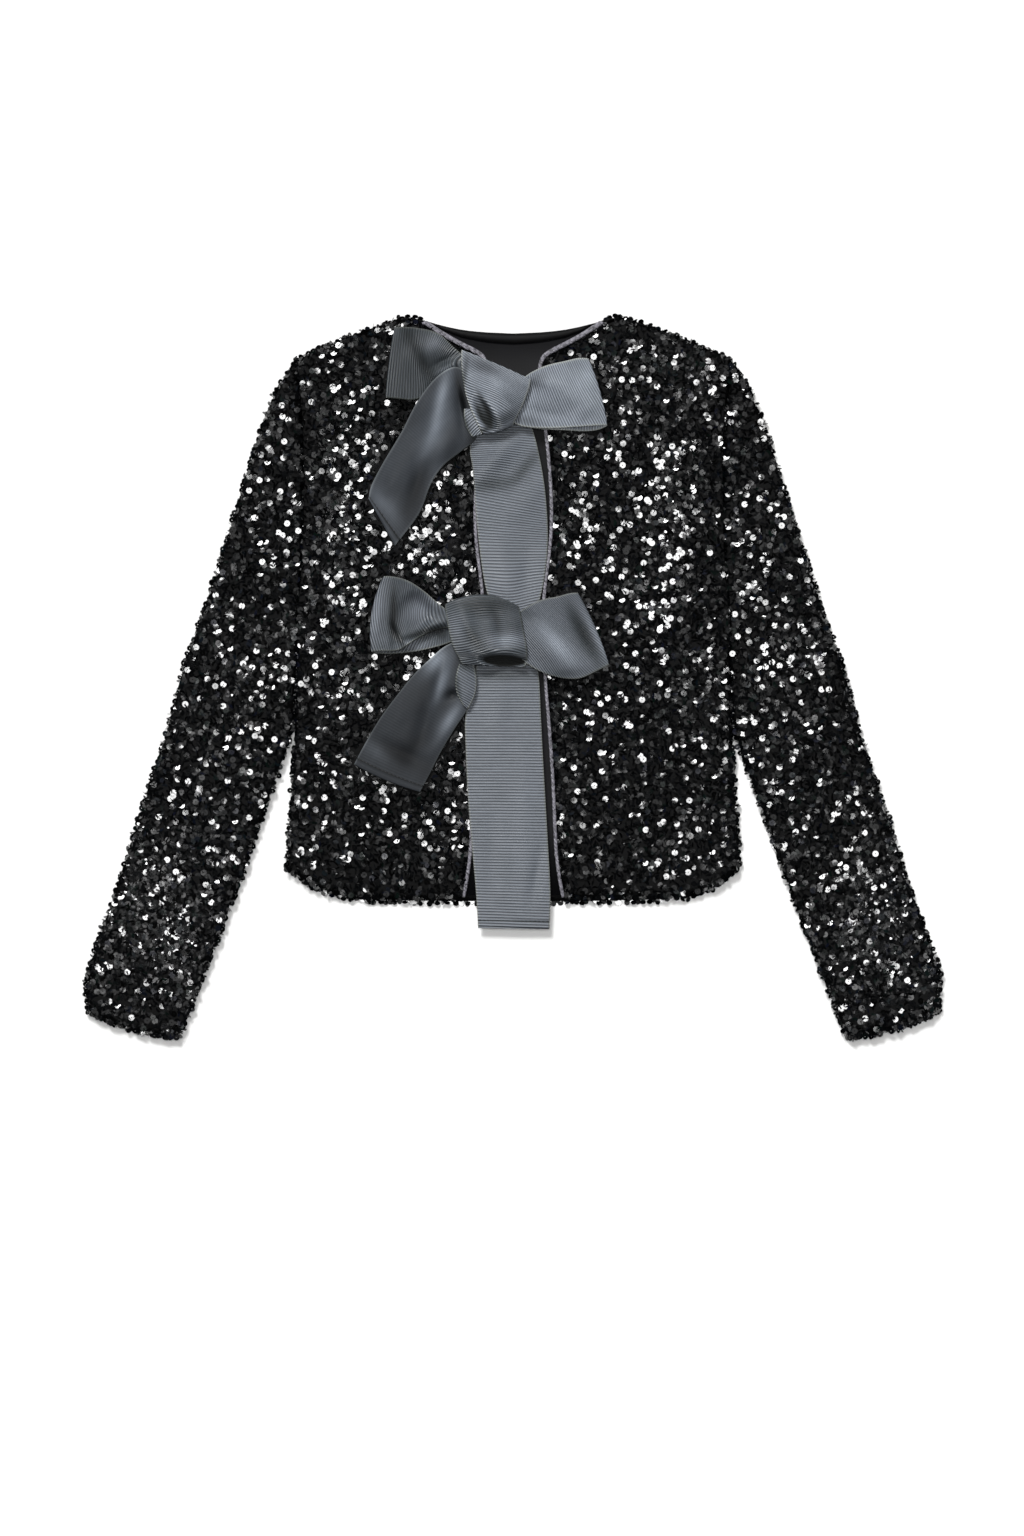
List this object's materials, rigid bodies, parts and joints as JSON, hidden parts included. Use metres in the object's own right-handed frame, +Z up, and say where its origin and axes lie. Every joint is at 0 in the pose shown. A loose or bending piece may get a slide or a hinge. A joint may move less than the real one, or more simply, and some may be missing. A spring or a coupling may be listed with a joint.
{
  "type": "long-sleeve sequinned jacket with ribbon bows, laid flat",
  "caption": "Cropped open-front long-sleeve jacket of black sequinned cloth, laid flat, with a round neck, satin-bound edges and wide grosgrain ribbon bows tied over the front.",
  "frame": {"origin": "on the surface it lies on, under the middle of the spread garment's box", "axes": "+X to the right across the garment as seen from above, +Y from the hem to the neck, +Z up out of the surface"},
  "size_m": [0.7284, 0.6168, 0.029],
  "materials": {
    "sequinned_cloth": "knit cloth covered with glossy black sequins",
    "black_lining": "plain matt woven lining",
    "satin_binding": "grey satin binding with a soft sheen",
    "grosgrain_ribbon": "slate grey grosgrain, fine cross ribs, smooth reverse"
  },
  "bodies": {
    "root": {"back_panel": "sequinned_cloth", "left_front": "sequinned_cloth", "right_front": "sequinned_cloth", "left_sleeve": "sequinned_cloth", "right_sleeve": "sequinned_cloth", "back_lining": "black_lining", "back_neck_facing": "black_lining", "left_binding": "satin_binding", "right_binding": "satin_binding", "upper_bow_left_loop": "grosgrain_ribbon", "upper_bow_right_loop": "grosgrain_ribbon", "upper_bow_knot": "grosgrain_ribbon", "upper_bow_left_tail": "grosgrain_ribbon", "upper_bow_centre_tail": "grosgrain_ribbon", "lower_bow_left_loop": "grosgrain_ribbon", "lower_bow_right_loop": "grosgrain_ribbon", "lower_bow_knot": "grosgrain_ribbon", "lower_bow_left_tail": "grosgrain_ribbon", "lower_bow_centre_tail": "grosgrain_ribbon"}
  },
  "joints": []
}
